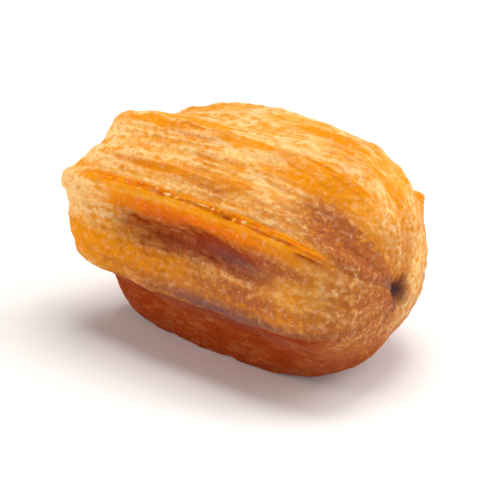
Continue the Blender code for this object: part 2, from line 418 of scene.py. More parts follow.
@dataclass
class DoughForm:
    """The smooth lobed bar, before any relief.

    Poles, s limits and relief fade hold the blunt and the pinched end. A dimple holds its depth,
    then its spreads. The pinch melt is where the valleys turn soft and shallow.
    """

    rows: int = 238
    outline_steps: int = 6001
    half_length: float = 26.0
    mean_radius: float = 17.0
    spacing_power: float = 4.5
    bunching: float = 0.35
    poles: tuple[float, float] = (24.2, 25.2)
    valley_slope: float = 0.1
    blunt_rounding: float = 0.3
    reach_onset: float = 1.4
    s_limits: tuple[float, float] = (-1.05, 1.0)
    pinch_melt: Rise = Rise(13.0, 25.0)
    pinch_filling: float = 0.7
    blunt_dimple: tuple[float, float] = (1.2, 3.0)
    pinch_dimple: tuple[float, float, float] = (2.0, 2.3, 1.15)
    pinch_turn: float = 62.0
    relief_fade: tuple[float, float] = (7.0, 14.0)
    deep_valley: float = 3.0
    deepest_drop: float = 1.6

    def meridians(self) -> Meridians:
        """Place the meridians, closer together at the crests.

        An even share e becomes e - b sin(2 pi e) / (2 pi), with b the bunching.

        Returns:
            The interval and the share of each meridian.
        """
        intervals: list[np.ndarray] = []
        shares: list[np.ndarray] = []
        for number, crest in enumerate(CRESTS):
            even = np.arange(crest.columns) / crest.columns
            intervals.append(np.full(crest.columns, number))
            shares.append(even - self.bunching * np.sin(2.0 * np.pi * even) / (2.0 * np.pi))
        return Meridians(np.concatenate(intervals), np.concatenate(shares))

    def ring_angles(self) -> np.ndarray:
        """Space the rings evenly along the outline |x/a|^n + |r/b|^n = 1, n the spacing power.

        Returns:
            Profile angles from 0 at the blunt pole to pi at the pinched pole.
        """
        fine = np.linspace(0.0, np.pi, self.outline_steps)
        power = 2.0 / self.spacing_power
        ahead = -np.sign(np.cos(fine)) * np.abs(np.cos(fine)) ** power * self.half_length
        outward = np.abs(np.sin(fine)) ** power * self.mean_radius
        run = np.concatenate([[0.0], np.cumsum(np.hypot(np.diff(ahead), np.diff(outward)))])
        return np.interp(np.linspace(0.0, run[-1], self.rows), run, fine)

    def fall(self, lines: Meridians) -> tuple[np.ndarray, np.ndarray, np.ndarray]:
        """Let the surface fall from the crests into the valleys.

        The fall is the cubic of the share t of the way from crest to valley that starts with the
        crest's steepness p, ends at 1 and ends with the valley's slope e:
        (p + e - 2) t^3 + (3 - 2p - e) t^2 + p t.

        Args:
            lines: The meridians.

        Returns:
            The share of the way, the nearest crest and the fall, for each meridian.
        """
        place = lines.valley_values([valley.place for valley in VALLEYS])
        before = lines.share < place
        toward = np.where(before, lines.share / place, (1.0 - lines.share) / (1.0 - place))
        nearest = np.where(before, lines.interval, lines.following)
        leaving = np.array([crest.steep[1] for crest in CRESTS])[lines.interval]
        coming = np.array([crest.steep[0] for crest in CRESTS])[lines.following]
        steep = np.where(before, leaving, coming)
        cubic = steep + self.valley_slope - 2.0
        square = 3.0 - 2.0 * steep - self.valley_slope
        return toward, nearest, (cubic * toward + square) * toward * toward + steep * toward

    def reach(self, lines: Meridians, nearest: np.ndarray, end: int, height: np.ndarray) -> np.ndarray:
        """Say how far each meridian reaches at one end, between its valley and its nearest crest.

        Args:
            lines: The meridians.
            nearest: Nearest crest of each.
            end: 0 for the blunt end, 1 for the pinched end.
            height: 0 in a valley, 1 on a crest.

        Returns:
            The reach from the middle of the bar.
        """
        low = lines.valley_values([valley.reach[end] for valley in VALLEYS])
        high = np.array([crest.reach[end] for crest in CRESTS])[nearest]
        return low + (high - low) * height

    def valley_depth(self, lines: Meridians, x: np.ndarray) -> np.ndarray:
        """Add each valley's dent, a bell exp(-d^2) along the bar, to its depth.

        Args:
            lines: The meridians.
            x: Place along the bar.

        Returns:
            The depth, less where the pinched end fills the valleys.
        """
        place = lines.valley_values([valley.dent_x for valley in VALLEYS])
        spread = lines.valley_values([valley.dent_spread for valley in VALLEYS])
        dent = lines.valley_values([valley.dent for valley in VALLEYS])
        depth = lines.valley_values([valley.depth for valley in VALLEYS]) + dent * bell((x - place) / spread)
        return depth * (1.0 - self.pinch_filling * self.pinch_melt.at(x))

    def pit(self, radius: np.ndarray, angle: np.ndarray, blunt: np.ndarray) -> np.ndarray:
        """Sink a round dimple into the blunt end and a drawn-out one into the pinched end.

        Both are bells exp(-d^2). At the pinched end d is measured along and across the slit.

        Args:
            radius: Distance from the axis.
            angle: Angle around the axis in radians.
            blunt: Where the blunt half is.

        Returns:
            What is taken off x.
        """
        depth, long_spread, short_spread = self.pinch_dimple
        turn = angle - np.radians(self.pinch_turn)
        along = radius * np.cos(turn) / long_spread
        over = radius * np.sin(turn) / short_spread
        rounded = -self.blunt_dimple[0] * bell(radius / self.blunt_dimple[1])
        return np.where(blunt, rounded, depth * np.exp(-(along**2 + over**2)))

    def grid(self) -> DoughGrid:
        """Work out the lobed bar.

        At profile angle p and end power n, x is -sign(cos p) reach |cos p|^(2/n) and the radius
        is (crest radius - valley depth) |sin p|^(2/n). The crests' values pass from crest to
        crest along half a cosine wave, and their angles in a straight line.

        Returns:
            The grid with all values that the relief needs.
        """
        lines = self.meridians()
        toward, nearest, drop = self.fall(lines)
        peak = (1.0 - drop) ** 2
        wave = 0.5 + 0.5 * np.cos(np.pi * toward)
        profile = self.ring_angles()[:, None]
        cosine = np.cos(profile)
        sine = np.clip(np.sin(profile), 0.0, 1.0)
        blunt = cosine > 0.0
        square_blunt = lines.waved([crest.square[0] for crest in CRESTS]) * (1.0 - self.blunt_rounding * drop)
        square = np.where(blunt, square_blunt, lines.waved([crest.square[1] for crest in CRESTS]))
        body = sine ** (2.0 / square)
        pole = np.where(blunt, *self.poles)
        end = np.where(blunt, self.reach(lines, nearest, 0, peak), self.reach(lines, nearest, 1, wave))
        reach = pole + (end - pole) * np.clip(self.reach_onset * body, 0.0, 1.0)
        x = -np.sign(cosine) * reach * np.abs(cosine) ** (2.0 / square)
        s = np.clip(x / self.half_length, *self.s_limits)
        turns = [lines.straight([crest.angle[place] for crest in CRESTS], 360.0) for place in range(3)]
        radii = [lines.waved([crest.radius[place] for crest in CRESTS]) for place in range(3)]
        angle = np.radians(parabola(*turns, s))
        melt = self.pinch_melt.at(x)
        depth = self.valley_depth(lines, x)
        fall = drop * (1.0 - melt) + (1.0 - wave) * melt
        radius = (parabola(*radii, s) - depth * fall) * body
        x = x - self.pit(radius, angle, blunt)
        return DoughGrid(
            points=np.stack([x, -radius * np.cos(angle), radius * np.sin(angle)], axis=-1),
            lines=lines,
            nearest=nearest,
            around=turns[1] / 360.0,
            drop=fall * np.clip(depth / self.deep_valley, 0.0, self.deepest_drop),
            crestness=np.broadcast_to(peak, x.shape),
            fade=smooth_step(0.0, 1.0, radius / np.where(blunt, *self.relief_fade)),
        )


@dataclass(frozen=True)
class CrustState:
    """What the fine relief and the tones of the crust both read at each grid point.

    Points have the broad relief. Strength says how torn the crust is, and wide, slim and hair
    are its torn ridges from about -1 to 1. Offset is the share of the interval above the lip,
    opening says how open the crack is there, and beads is 1 on top of a bead in it.
    """

    grid: DoughGrid
    points: np.ndarray
    strength: np.ndarray
    wide: np.ndarray
    slim: np.ndarray
    hair: np.ndarray
    offset: np.ndarray
    opening: np.ndarray
    beads: np.ndarray

    @property
    def from_axis(self) -> np.ndarray:
        """Distance from the X axis."""
        return np.hypot(self.points[..., 1], self.points[..., 2])

    @property
    def pinched(self) -> np.ndarray:
        """Whether a point lies on the pinched half."""
        return self.points[..., 0] > 0.0


@dataclass
class CrustRelief:
    """Lumps, furrows, torn crests, the long crack and its lip, and the finer crust on top."""

    lumps: NoiseField = NoiseField(5.5, 7.3, 4711)
    lump_height: float = 0.24
    furrows: StreakField = StreakField(58, 9.0, 4713, NoiseField(8.0, 2.1, 4712), 0.5, (9.0, 0.0))
    furrow_heights: tuple[float, ...] = (0.06, 0.16, 0.34, 0.32, 0.26, 0.22, 0.22, 0.14)
    ragged_height: float = 0.30
    ragged_length: float = 2.6
    ragged_step: float = 3.7
    ragged_start: float = 5.0
    ragged_seed: int = 4714
    crack_interval: int = 2
    crack_place: float = 0.062
    crack_width: float = 0.026
    crack_depth: float = 0.26
    crack_start: Rise = Rise(-25.0, -20.0)
    crack_end: Rise = Rise(23.5, 17.5)
    off_crack: float = 9.0
    lip_height: float = 0.40
    lip_width: float = 0.030
    fill_height: float = 0.14
    fill_place: float = 0.042
    fill_width: float = 0.024
    knobs: tuple[Knob, ...] = (
        Knob(5, 17.8, 2.0, 0.8),
        Knob(3, -3.4, 1.3, 0.45),
        Knob(3, -19.0, 1.6, 0.30),
        Knob(1, 3.0, 3.0, 0.25),
    )
    hollows: tuple[Hollow, ...] = (
        Hollow(2, 0.31, 0.055, -11.5, 3.6, 0.55),
        Hollow(2, 0.42, 0.170, 19.5, 5.0, 0.45),
        Hollow(2, 0.80, 0.060, -8.0, 6.0, 0.25),
        Hollow(3, 0.45, 0.140, -17.0, 6.0, 0.35),
        Hollow(4, 0.89, 0.090, 17.2, 1.7, -1.40),
    )
    torn_heights: tuple[float, ...] = (0.25, 0.75, 1.0, 1.0, 0.9, 0.8, 0.8, 0.4)
    torn_areas: NoiseField = NoiseField(9.0, 1.7, 4771)
    torn_range: tuple[float, float] = (0.45, 0.75)
    front_interval: int = 1
    torn_pinch: Rise = Rise(11.0, 21.0, 0.72)
    torn_pinch_front: Rise = Rise(4.0, 21.0, 0.92)
    torn_blunt: Rise = Rise(-15.0, -23.0, 0.45)
    wide: StreakField = StreakField(60, 15.0, 101, NoiseField(7.0, 3.3, 151), 0.42)
    slim: StreakField = StreakField(116, 9.0, 202, NoiseField(7.0, 3.3, 252), 0.812)
    hair: StreakField = StreakField(190, 5.0, 303, NoiseField(7.0, 3.3, 353), 1.33)
    wide_height: float = 0.30
    slim_height: float = 0.20
    hair_height: float = 0.16
    torn_sink: float = 0.225
    blisters: NoiseField = NoiseField(1.15, 4.4, 404)
    blister_height: float = 0.10
    pores: NoiseField = NoiseField(0.62, 8.8, 505)
    pore_height: float = 0.035
    bead_seed: int = 88
    bead_count: int = 15
    bead_run: tuple[float, float] = (-9.0, 8.0)
    bead_stray: float = 0.5
    bead_across: tuple[float, float] = (-0.02, 0.025)
    bead_sizes: tuple[float, float] = (0.65, 1.15)
    bead_heights: tuple[float, float] = (0.5, 1.0)
    bead_radius: float = 0.38
    bead_height: float = 0.38
    interval_width: float = 13.8
    wrinkles: int = 17
    wrinkle_height: float = 0.16
    wrinkle_bend: NoiseField = NoiseField(1.6, 2.7, 909)
    wrinkle_sway: float = 2.5
    wrinkle_radius: float = 1.9
    wrinkle_spread: float = 1.5

    def along_crack(self, grid: DoughGrid) -> tuple[np.ndarray, np.ndarray]:
        """Measure each point's place across the crack and how open the crack is there.

        Args:
            grid: The dough's grid.

        Returns:
            Share of the interval above the lip, and the opening from 0 to 1. Outside the crack's
            two intervals the share is set to a value too high for any bell.
        """
        interval, share = grid.lines.interval, grid.lines.share
        offset = np.full(share.shape, self.off_crack)
        offset = np.where(interval == self.crack_interval, share, offset)
        offset = np.where(interval == self.crack_interval - 1, share - 1.0, offset)
        return grid.spread(offset), self.crack_start.at(grid.x) * self.crack_end.at(grid.x)

    def torn_crests(self, grid: DoughGrid) -> np.ndarray:
        """Make the crests ragged with noise along each of them, and add the torn knobs.

        Args:
            grid: The dough's grid.

        Returns:
            Height over the smooth form.
        """
        ahead = grid.x / self.ragged_length
        line = np.stack([ahead, grid.spread(grid.nearest * self.ragged_step), np.zeros_like(ahead)], axis=-1)
        noise = lattice_noise(line + self.ragged_start, self.ragged_seed)
        height = noise * self.ragged_height * grid.crestness**3
        for knob in self.knobs:
            bump = knob.height * bell((grid.x - knob.x) / knob.spread) * grid.crestness**2
            height = height + np.where(grid.nearest == knob.crest, bump, 0.0)
        return height

    def broad(self, grid: DoughGrid) -> np.ndarray:
        """Add up the relief that the solid has too.

        Lumps and furrows are lattice noise, the second drawn out along the bar. Hollows, crack
        and lip are bells exp(-d^2).

        Args:
            grid: The dough's grid.

        Returns:
            Height over the smooth form.
        """
        height = self.lump_height * self.lumps.at(grid.points)
        height = height + self.furrows.at(grid) * grid.lines.straight(self.furrow_heights)
        height = height + self.torn_crests(grid)
        for hollow in self.hollows:
            height = height - hollow.depth * grid.spot(hollow)
        offset, opening = self.along_crack(grid)
        crack = -self.crack_depth * bell((offset - self.crack_place) / self.crack_width)
        lip = self.lip_height * bell(offset / self.lip_width)
        return (height + (crack + lip) * opening) * grid.fade

    def torn_strength(self, grid: DoughGrid) -> np.ndarray:
        """Say how torn the crust is: strong on the upper faces, weak below and at both ends.

        Args:
            grid: The dough's grid.

        Returns:
            The strength, from 0 to about 1.2.
        """
        area = 0.5 + 0.5 * self.torn_areas.at(grid.points)
        front = grid.lines.interval == self.front_interval
        whole = 1.0 - np.where(front, self.torn_pinch_front.at(grid.x), self.torn_pinch.at(grid.x))
        whole = whole * (1.0 - self.torn_blunt.at(grid.x))
        level = grid.lines.straight(self.torn_heights) * (self.torn_range[0] + self.torn_range[1] * area)
        return level * whole * grid.fade

    def beads(self, grid: DoughGrid, offset: np.ndarray) -> np.ndarray:
        """Set small round beads in the crack: bells exp(-d^2) at seeded places.

        Args:
            grid: The dough's grid.
            offset: Place across the crack.

        Returns:
            The highest bell at each point.
        """
        draw = np.random.default_rng(self.bead_seed)
        total = np.zeros_like(grid.x)
        for place in np.linspace(*self.bead_run, self.bead_count):
            x = place + draw.uniform(-self.bead_stray, self.bead_stray)
            across = self.crack_place + draw.uniform(*self.bead_across)
            size = self.bead_radius * draw.uniform(*self.bead_sizes)
            far = ((grid.x - x) / size) ** 2 + ((offset - across) * self.interval_width / size) ** 2
            total = np.maximum(total, draw.uniform(*self.bead_heights) * np.exp(-far))
        return total

    def read(self, grid: DoughGrid, points: np.ndarray) -> CrustState:
        """Work out what the fine relief and the tones share.

        Args:
            grid: The smooth dough's grid.
            points: The same points with the broad relief.

        Returns:
            The state of the crust.
        """
        offset, opening = self.along_crack(grid)
        return CrustState(
            grid=grid,
            points=points,
            strength=self.torn_strength(grid),
            wide=self.wide.folded(grid),
            slim=self.slim.folded(grid),
            hair=self.hair.folded(grid),
            offset=offset,
            opening=opening,
            beads=self.beads(grid, offset),
        )

    def wrinkled(self, crust: CrustState) -> np.ndarray:
        """Cut short wrinkles that run into the pinched end's dimple.

        The depth is (0.5 + 0.5 cos(n a + noise)) times a bell over the distance from the axis,
        with a the angle around the axis and n the number of wrinkles.

        Args:
            crust: The state of the crust.

        Returns:
            Depth of the wrinkles.
        """
        angle = np.arctan2(crust.points[..., 2], crust.points[..., 1])
        bent = self.wrinkles * angle + self.wrinkle_sway * self.wrinkle_bend.at(crust.points)
        ring = bell((crust.from_axis - self.wrinkle_radius) / self.wrinkle_spread) * crust.pinched
        return self.wrinkle_height * (0.5 + 0.5 * np.cos(bent)) * ring

    def fine(self, crust: CrustState) -> np.ndarray:
        """Add up the relief that the solid is too coarse for.

        Torn ridges of three widths, blisters and pores cover the crust. Beads and a filling
        lie in the crack, and wrinkles are cut round the pinch.

        Args:
            crust: The state of the crust.

        Returns:
            Height over the broad relief.
        """
        torn = self.wide_height * crust.wide + self.slim_height * crust.slim + self.hair_height * crust.hair
        height = crust.strength * (torn - self.torn_sink)
        height = height + self.blister_height * self.blisters.at(crust.points) * crust.grid.fade
        height = height + self.pore_height * self.pores.at(crust.points)
        height = height + self.bead_height * crust.beads - self.wrinkled(crust)
        filling = self.fill_height * bell((crust.offset - self.fill_place) / self.fill_width)
        return height + filling * crust.opening


@dataclass
class CrustTones:
    """Where each tone of the crust shows, as masks over the grid."""

    limit: float = 1.4
    blots: NoiseField = NoiseField(6.0, 6.1, 707)
    blot_lift: float = 1.6
    ridge_mix: tuple[float, float, float] = (0.50, 0.32, 0.18)
    upper: Rise = Rise(-2.0, 6.0)
    # The underside and the overhung lowest lobe: browner crust and painted shade.
    below: Rise = Rise(-5.5, -10.0)
    lowest_interval: int = 0
    front_interval: int = 1
    tuck_edge: Rise = Rise(8.0, 14.0)
    tuck_start: tuple[float, float] = (0.99, 0.03)
    tuck_full: tuple[float, float] = (0.90, 0.06)
    tuck_height: Rise = Rise(-2.0, -5.0)
    tuck_end: Rise = Rise(25.0, 19.0)
    deep_pinch: Rise = Rise(9.0, 20.0, 0.25)
    deep_blots: tuple[float, float] = (0.90, 0.2)
    # Brown: toasted crust, and painted shade lower down, in the valleys and underneath.
    toast_base: float = 0.04
    toast_blots: float = 0.14
    toast_lower: Rise = Rise(5.0, -8.0, 0.55)
    toast_valley: Rise = Rise(0.45, 1.3, 0.25)
    toast_below: float = 0.4
    toast_torn: Rise = Rise(0.2, -0.5, 0.20)
    toast_pinch: Rise = Rise(15.0, 23.0, 0.40)
    toast_pinch_height: Rise = Rise(15.0, 6.0)
    pale_base: float = 0.10
    pale_ridge: Rise = Rise(0.15, 0.75)
    pale_torn: tuple[float, float] = (0.10, 0.70)
    pale_torn_upper: tuple[float, float] = (0.2, 0.8)
    pale_blunt: Rise = Rise(-18.0, -26.0, 0.75)
    pale_blunt_upper: tuple[float, float] = (0.4, 0.6)
    pale_blunt_front: Rise = Rise(0.30, 0.55)
    pale_upper: float = 0.12
    pale_pinch: Rise = Rise(19.0, 26.0, 0.30)
    pale_below: float = 0.8
    amber_torn: Rise = Rise(0.30, -0.45, 0.80)
    amber_upper: float = 0.08
    # Painted shade: in the dimples, and on the lowest lobe under the front lobe's overhang.
    dimple_shade: float = 1.05
    undercut_shade: float = 0.30
    undercut: tuple[float, float] = (0.80, 0.12)
    undercut_end: Rise = Rise(24.0, 14.0)
    slit_turn: float = 42.0
    crease: tuple[float, float, float, float] = (0.60, 2.6, 3.4, 0.75)
    pit_middle: tuple[float, float] = (0.4, -0.2)
    pit_spread: float = 2.8
    pit_flatness: float = 0.7
    speckles: NoiseField = NoiseField(0.60, 3.1, 111)
    speckle_rise: Rise = Rise(0.05, 0.40, 0.60)
    speckle_middle: tuple[float, float] = (-1.4, -1.6)
    speckle_spread: float = 8.5
    blunt_pit: tuple[float, float] = (0.5, 2.5)
    rim_turn: float = 215.0
    rim_rise: Rise = Rise(-0.3, 0.6)
    rim_place: tuple[float, float] = (25.0, 3.0)
    rim_pale: float = 0.8
    rim_toast: float = -0.45
    # Painted shade round the pinched end's dimple.
    pinch_radius: float = 2.8
    pinch_pale: float = -1.5
    pinch_shade: float = 0.5
    crack_wander: NoiseField = NoiseField(1.3, 0.0, 606)
    crack_sway: float = 0.012
    band: tuple[float, float, float] = (0.055, 0.044, 4.0)
    # Painted highlight: a golden line along the lip's edge.
    painted_lip_highlight: tuple[float, float, float] = (-0.012, 0.026, 3.0)
    painted_lip_highlight_end: Rise = Rise(12.0, 18.0)
    dots: NoiseField = NoiseField(0.60, 5.5, 808)
    dot_rise: Rise = Rise(-0.15, 0.25)
    crack_tones: tuple[CrackTone, ...] = (
        CrackTone(CrustMask.PALE, -1.3, 0.0, -0.8),
        CrackTone(CrustMask.TOAST_AND_SHADE, -0.6, 0.0, -1.0),
        CrackTone(CrustMask.AMBER, 1.3, 0.0, -1.2),
        CrackTone(CrustMask.EMBER, 0.0, 0.9, -1.0),
        CrackTone(CrustMask.DEEP_AND_SHADE, 0.0, 0.1, -1.0),
    )
    # Painted glints on the tops of the beads in the crack.
    glint_on_beads: Rise = Rise(0.10, 0.50)
    bead_glint_pale: float = 1.5
    patches: tuple[Patch, ...] = (
        # The long hollow under the lip: browner crust with painted shade, darkest along its bottom, greyer
        # towards the right.
        Patch(1, 0.50, 0.12, 1.0, 12.5, CrustMask.TOAST_AND_SHADE, 1.4, 4.0),
        Patch(1, 0.64, 0.17, -2.5, 12.0, CrustMask.DEEP_AND_SHADE, 1.1),
        Patch(1, 0.69, 0.11, 8.0, 6.5, CrustMask.DEEP_AND_SHADE, 0.6),
        Patch(1, 0.65, 0.12, -14.0, 3.0, CrustMask.DEEP_AND_SHADE, 0.4),
        Patch(1, 0.60, 0.09, 6.0, 7.0, CrustMask.PAINTED_SHADE, 0.6),
        Patch(1, 0.75, 0.12, 13.0, 6.0, CrustMask.TOAST_AND_SHADE, 1.0),
        # The lip: orange on top, red-orange on its underside.
        Patch(1, 0.93, 0.10, 0.0, 17.5, CrustMask.AMBER, 1.6, 4.0),
        Patch(2, 0.01, 0.085, 0.0, 20.0, CrustMask.AMBER, 1.6, 4.0),
        Patch(2, 0.02, 0.06, 0.0, 20.0, CrustMask.PALE, -0.8, 4.0),
        Patch(1, 0.87, 0.07, -2.0, 14.0, CrustMask.EMBER, 1.0, 4.0),
        Patch(1, 0.78, 0.07, -8.0, 8.0, CrustMask.EMBER, 0.8),
        # A little painted shade under the lip.
        Patch(1, 0.87, 0.08, 1.0, 17.0, CrustMask.DEEP_AND_SHADE, 0.1, 4.0),
        Patch(1, 0.87, 0.06, 0.0, 14.0, CrustMask.TOAST_AND_SHADE, -0.5),
        Patch(1, 0.81, 0.06, -15.0, 4.0, CrustMask.AMBER, 0.9),
        # The crack above the lip, darkest where it ends.
        Patch(2, 0.03, 0.02, 4.0, 20.0, CrustMask.DEEP_AND_SHADE, 0.6, 4.0),
        Patch(1, 0.99, 0.05, 19.5, 2.5, CrustMask.DEEP_AND_SHADE, 0.9),
        Patch(1, 0.99, 0.05, 19.5, 3.0, CrustMask.AMBER, 0.8),
        # The front lobe: amber at both sides, brown in the middle with a pale strip, painted shade along its
        # lower edge.
        Patch(1, 0.20, 0.15, -14.0, 11.0, CrustMask.AMBER, 1.6),
        Patch(1, 0.30, 0.17, -26.0, 6.0, CrustMask.AMBER, 1.4),
        Patch(1, 0.18, 0.10, 12.0, 8.0, CrustMask.AMBER, 1.3),
        Patch(1, 0.12, 0.20, 4.0, 16.0, CrustMask.TOAST_AND_SHADE, 0.3),
        Patch(1, 0.26, 0.10, 10.0, 7.0, CrustMask.TOAST_AND_SHADE, 0.8),
        Patch(1, 0.28, 0.08, -5.0, 4.0, CrustMask.TOAST_AND_SHADE, -0.3),
        Patch(1, 0.41, 0.06, 3.0, 9.0, CrustMask.PALE, 0.5),
        Patch(1, 0.40, 0.06, 4.0, 7.0, CrustMask.TOAST_AND_SHADE, -0.5),
        Patch(1, 0.03, 0.06, 8.0, 14.0, CrustMask.TOAST_AND_SHADE, 0.5),
        Patch(1, 0.02, 0.07, 6.0, 13.0, CrustMask.PAINTED_SHADE, 0.8),
        # Painted shade on the upper edge of the lowest lobe, where the front lobe hangs over it.
        Patch(0, 1.00, 0.10, 16.0, 8.0, CrustMask.TOAST_AND_SHADE, 1.1),
        Patch(0, 0.98, 0.06, 14.0, 7.0, CrustMask.DEEP_AND_SHADE, 1.4),
        # The pale, torn blunt end.
        Patch(1, 0.80, 0.14, -23.0, 4.0, CrustMask.PALE, 1.4),
        Patch(1, 0.62, 0.12, -20.5, 4.0, CrustMask.PALE, 0.8),
        Patch(1, 0.99, 0.04, -19.5, 2.0, CrustMask.PALE, 0.8),
        Patch(1, 0.20, 0.25, -22.0, 8.0, CrustMask.TOAST_AND_SHADE, -0.2),
        # The upper front face: orange streaks, pale torn crests between them.
        Patch(2, 0.33, 0.07, -10.0, 7.0, CrustMask.AMBER, 1.4),
        Patch(2, 0.42, 0.05, 3.0, 4.0, CrustMask.AMBER, 1.4),
        Patch(2, 0.76, 0.12, 15.0, 7.0, CrustMask.AMBER, 1.5),
        Patch(2, 0.93, 0.07, 4.0, 18.0, CrustMask.AMBER, 0.8),
        Patch(2, 0.90, 0.06, -18.5, 5.0, CrustMask.AMBER, 1.4),
        Patch(2, 0.98, 0.06, 18.0, 4.0, CrustMask.AMBER, 1.3),
        Patch(2, 0.17, 0.05, -22.5, 3.0, CrustMask.AMBER, 0.8),
        Patch(2, 0.66, 0.05, -2.0, 6.0, CrustMask.AMBER, 0.4),
        Patch(2, 0.22, 0.07, -2.0, 10.0, CrustMask.PALE, 0.2),
        Patch(2, 0.83, 0.06, -10.0, 5.0, CrustMask.PALE, 1.2),
        Patch(2, 0.57, 0.06, 9.5, 3.5, CrustMask.PALE, 0.9),
        Patch(2, 0.30, 0.08, -17.5, 3.5, CrustMask.PALE, 1.1),
        Patch(2, 0.15, 0.04, 10.0, 5.0, CrustMask.PALE, 0.8),
        # The brown patch between the crack's end and the pinch.
        Patch(2, 0.34, 0.22, 20.5, 6.0, CrustMask.TOAST_AND_SHADE, 1.0),
        Patch(2, 0.55, 0.15, 18.0, 7.0, CrustMask.TOAST_AND_SHADE, 0.6),
        Patch(2, 0.27, 0.15, 0.0, 13.0, CrustMask.TOAST_AND_SHADE, 0.4),
        Patch(2, 0.57, 0.05, 10.5, 3.0, CrustMask.TOAST_AND_SHADE, -0.7),
        Patch(2, 0.10, 0.20, 26.0, 3.0, CrustMask.TOAST_AND_SHADE, 0.7),
        Patch(2, 0.50, 0.30, 24.5, 3.0, CrustMask.PALE, -0.8),
        # The top lobe and the face behind it: orange towards the right, pale streaks further left.
        Patch(3, 0.45, 0.25, 15.0, 8.0, CrustMask.AMBER, 0.4),
        Patch(3, 0.65, 0.10, 8.0, 7.0, CrustMask.AMBER, 1.6),
        Patch(3, 0.50, 0.20, 22.5, 3.0, CrustMask.AMBER, 0.8),
        Patch(3, 0.18, 0.12, 19.5, 4.0, CrustMask.PALE, 0.6),
        Patch(3, 0.45, 0.30, -4.0, 14.0, CrustMask.PALE, 0.3),
        Patch(3, 0.08, 0.08, -10.0, 7.0, CrustMask.PALE, -1.5),
        Patch(3, 0.09, 0.07, 11.5, 5.0, CrustMask.PALE, 1.2),
        Patch(3, 0.37, 0.08, 12.5, 3.5, CrustMask.PALE, 1.0),
        # The browner front of the pinched end.
        Patch(1, 0.65, 0.35, 26.0, 3.0, CrustMask.TOAST_AND_SHADE, 0.5),
    )

    def under(self, grid: DoughGrid, height: np.ndarray) -> np.ndarray:
        """Mark the dark underside: browner crust, and painted shade.

        It is everything that lies low, and the lowest lobe up to where the front lobe hangs
        over it. The front lobe itself is left out.

        Args:
            grid: The dough's grid.
            height: Height over the axis, made uneven.

        Returns:
            The mask of the underside.
        """
        edge = self.tuck_edge.at(grid.x)
        start = self.tuck_start[0] + self.tuck_start[1] * edge
        full = self.tuck_full[0] + self.tuck_full[1] * edge
        tucked = grid.inside(self.lowest_interval, smooth_step(start, full, grid.lines.share))
        tucked = tucked * self.tuck_height.at(height) * self.tuck_end.at(grid.x)
        low = np.maximum(self.below.at(height), tucked)
        return np.where(grid.lines.interval == self.front_interval, 0.0, low)

    def dimples(self, crust: CrustState) -> np.ndarray:
        """Paint shade into both dimples.

        Bells exp(-d^2) lie over the pit and the crease at the pinched end, with dark speckles
        beside them, and a fainter bell lies over the blunt end's dimple.

        Args:
            crust: The state of the crust.

        Returns:
            The mask, 1 in the middle of the pit.
        """
        y, z = crust.points[..., 1], crust.points[..., 2]
        turn = math.radians(self.slit_turn)
        out = -y * math.cos(turn) + z * math.sin(turn)
        side = y * math.sin(turn) + z * math.cos(turn)
        amount, middle, long_spread, short_spread = self.crease
        crease = amount * np.exp(-(((out - middle) / long_spread) ** 2) - (side / short_spread) ** 2)
        level = (y - self.pit_middle[0]) ** 2 + self.pit_flatness * (z - self.pit_middle[1]) ** 2
        pit = np.exp(-(level / self.pit_spread))
        near = (y - self.speckle_middle[0]) ** 2 + (z - self.speckle_middle[1]) ** 2
        speckles = self.speckle_rise.at(self.speckles.at(crust.points)) * np.exp(-near / self.speckle_spread)
        blunt = self.blunt_pit[0] * bell(crust.from_axis / self.blunt_pit[1])
        return np.where(crust.pinched, np.maximum(np.maximum(pit, crease), speckles), blunt)

    def base(self, crust: CrustState) -> dict[CrustMask, np.ndarray]:
        """Lay out the tones that follow height, valleys and torn ridges. Browning lower down, in the valleys
        and underneath is toasted crust and painted shade both.

        Args:
            crust: The state of the crust.

        Returns:
            One mask per name.
        """
        grid = crust.grid
        blot = self.blots.at(crust.points)
        height = crust.points[..., 2] + self.blot_lift * blot
        upper = self.upper.at(height)
        below = self.under(grid, height)
        mix = self.ridge_mix
        ridges = mix[0] * crust.wide + mix[1] * crust.slim + mix[2] * crust.hair

        # Deep red-brown underneath, and brown lower down and in the valleys: browner crust and painted shade
        # both.
        deep = below * (1.0 - self.deep_pinch.at(grid.x)) * (self.deep_blots[0] + self.deep_blots[1] * blot)
        toast_and_shade = self.toast_base + self.toast_lower.at(height) + self.toast_valley.at(grid.drop)
        toast_and_shade = toast_and_shade + self.toast_below * below + self.toast_blots * blot
        toast_and_shade = toast_and_shade + self.toast_torn.at(ridges) * crust.strength
        toast_and_shade = toast_and_shade + self.toast_pinch.at(grid.x) * self.toast_pinch_height.at(height)

        pale = self.pale_ridge.at(ridges) * (self.pale_torn[0] + self.pale_torn[1] * crust.strength)
        pale = pale * (self.pale_torn_upper[0] + self.pale_torn_upper[1] * upper) * grid.fade
        front = grid.lines.interval == self.front_interval
        end = np.where(front, self.pale_blunt_front.at(grid.lines.share), 1.0) * self.pale_blunt.at(grid.x)
        pale = pale + end * (self.pale_blunt_upper[0] + self.pale_blunt_upper[1] * upper)
        pale = pale + self.pale_base + self.pale_upper * upper + self.pale_pinch.at(grid.x)

